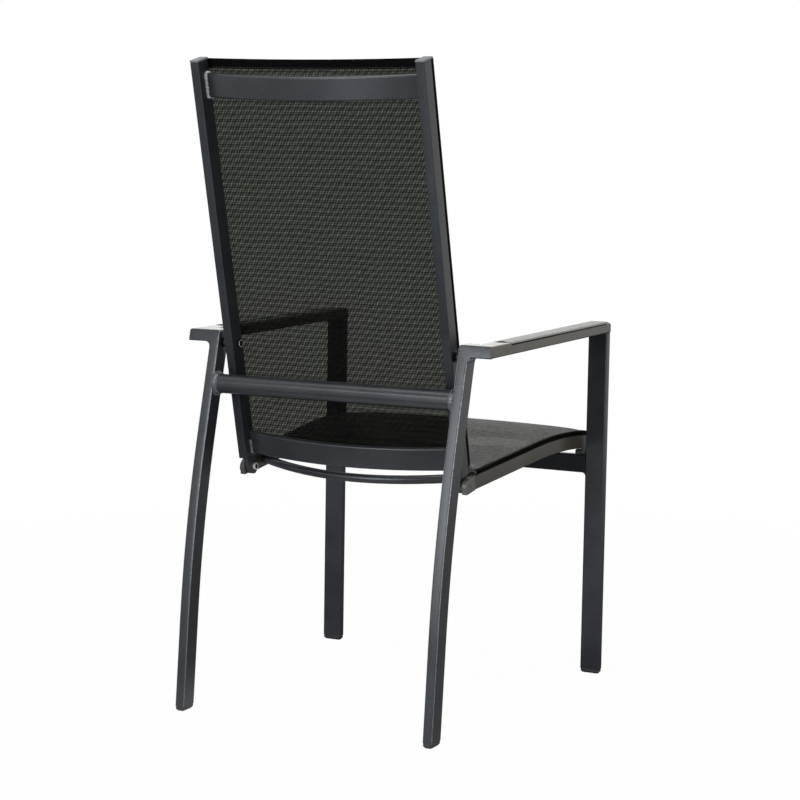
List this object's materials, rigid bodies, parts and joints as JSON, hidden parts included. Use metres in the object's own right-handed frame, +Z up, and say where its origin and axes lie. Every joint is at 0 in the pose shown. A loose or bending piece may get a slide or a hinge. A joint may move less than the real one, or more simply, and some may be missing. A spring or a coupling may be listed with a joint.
{
  "type": "sling patio chair",
  "caption": "High-backed reclining patio chair: dark grey aluminium frame, woven mesh back and seat slings, fixed flat armrests.",
  "frame": {"origin": "middle of the chair's box, on the ground under the feet", "axes": "+Z up, +Y towards the back of the chair (the sitter faces -Y), +X to the sitter's left"},
  "size_m": [0.568, 0.6448, 1.0891],
  "materials": {
    "frame_paint": "fine-textured matt powder coat, anthracite",
    "arm_slat": "satin, lightly brushed",
    "plastic": "moulded, matt",
    "steel": "bright stainless",
    "sling_mesh": "open-weave coated mesh, black with olive grey flecks"
  },
  "bodies": {
    "frame": {"front_leg_left": "frame_paint", "rear_leg_left": "frame_paint", "arm_rail_left": "frame_paint", "arm_slat_left": "arm_slat", "front_foot_left": "plastic", "rear_foot_left": "plastic", "back_pivot_bolt_left": "steel", "back_pivot_bush_left": "plastic", "back_pivot_insert_left": "steel", "seat_glide_left": "plastic", "front_leg_right": "frame_paint", "rear_leg_right": "frame_paint", "arm_rail_right": "frame_paint", "arm_slat_right": "arm_slat", "front_foot_right": "plastic", "rear_foot_right": "plastic", "back_pivot_bolt_right": "steel", "back_pivot_bush_right": "plastic", "back_pivot_insert_right": "steel", "seat_glide_right": "plastic", "rear_cross_tube": "frame_paint", "front_cross_rail": "frame_paint"},
    "backrest": {"back_rail_left": "frame_paint", "back_rail_cap_left": "plastic", "back_lug_left": "frame_paint", "back_spline_left": "plastic", "back_rail_right": "frame_paint", "back_rail_cap_right": "plastic", "back_lug_right": "frame_paint", "back_spline_right": "plastic", "back_top_bar": "frame_paint", "back_bottom_bar": "frame_paint", "back_sling": "sling_mesh"},
    "seat": {"seat_rail_left": "frame_paint", "seat_rail_cap_left": "plastic", "seat_lug_left": "frame_paint", "seat_spline_left": "plastic", "seat_pivot_bolt_left": "steel", "seat_pivot_washer_left": "steel", "seat_rail_right": "frame_paint", "seat_rail_cap_right": "plastic", "seat_lug_right": "frame_paint", "seat_spline_right": "plastic", "seat_pivot_bolt_right": "steel", "seat_pivot_washer_right": "steel", "seat_rear_bar": "frame_paint", "seat_front_bar": "frame_paint", "seat_sling": "sling_mesh"}
  },
  "joints": [
    {"name": "backrest_recline", "type": "hinge", "parent": "frame", "child": "backrest", "pos_m": [0, 0.18805, 0.6116], "axis": [-1, 0, 0], "range_deg": [0, 15]},
    {"name": "seat_tilt", "type": "hinge", "parent": "backrest", "child": "seat", "pos_m": [0, 0.13927, 0.39441], "axis": [-1, 0, 0], "range_deg": [-18.53, 0]}
  ],
  "couplings": [
    {"joint": "seat_tilt", "follows": "backrest_recline", "ratio": -1.235}
  ]
}
